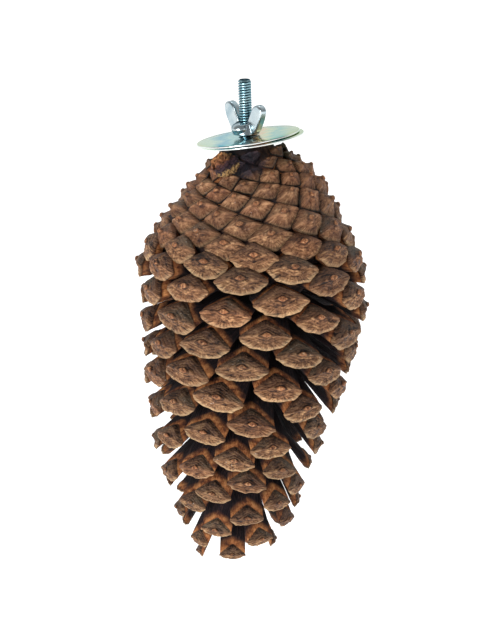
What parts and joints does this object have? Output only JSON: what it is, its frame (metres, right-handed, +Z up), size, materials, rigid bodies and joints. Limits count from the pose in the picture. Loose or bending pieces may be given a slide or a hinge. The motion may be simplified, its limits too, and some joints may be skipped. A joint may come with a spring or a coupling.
{
  "type": "pine cone on a cage clamp fixing",
  "caption": "Open pine cone with rhombic spiral scales, hung stem end up on a threaded stud with large washers and a wing nut that clamp onto a cage wire.",
  "frame": {"origin": "on the stud's axis at the top face of the lower washer, where the washers grip the cage", "axes": "+Z up along the stud; -Y faces the viewer of the picture; the cone hangs along -Z"},
  "size_m": [0.1139, 0.1101, 0.242],
  "materials": {
    "cone_wood": "rough dry wood, tan to dark brown, paler along the lips of the scales",
    "zinc_plated_steel": "bright zinc plate with a faint blue and yellow tint"
  },
  "bodies": {
    "cone": {"pine_cone": "cone_wood", "hanger_stud": "zinc_plated_steel", "lower_washer": "zinc_plated_steel"},
    "washer": {"upper_washer": "zinc_plated_steel"},
    "nut": {"wing_nut": "zinc_plated_steel"}
  },
  "joints": [
    {"name": "washer_slide", "type": "slide", "parent": "cone", "child": "washer", "axis": [0, 0, 1], "range_m": [0, 0.01651]},
    {"name": "nut_turn", "type": "hinge", "parent": "washer", "child": "nut", "pos_m": [0, 0, 0.005], "axis": [0, 0, 1], "range_deg": [0, 4680]}
  ],
  "couplings": [
    {"joint": "nut_turn", "follows": "washer_slide", "rad_per_m": 4947.4}
  ]
}
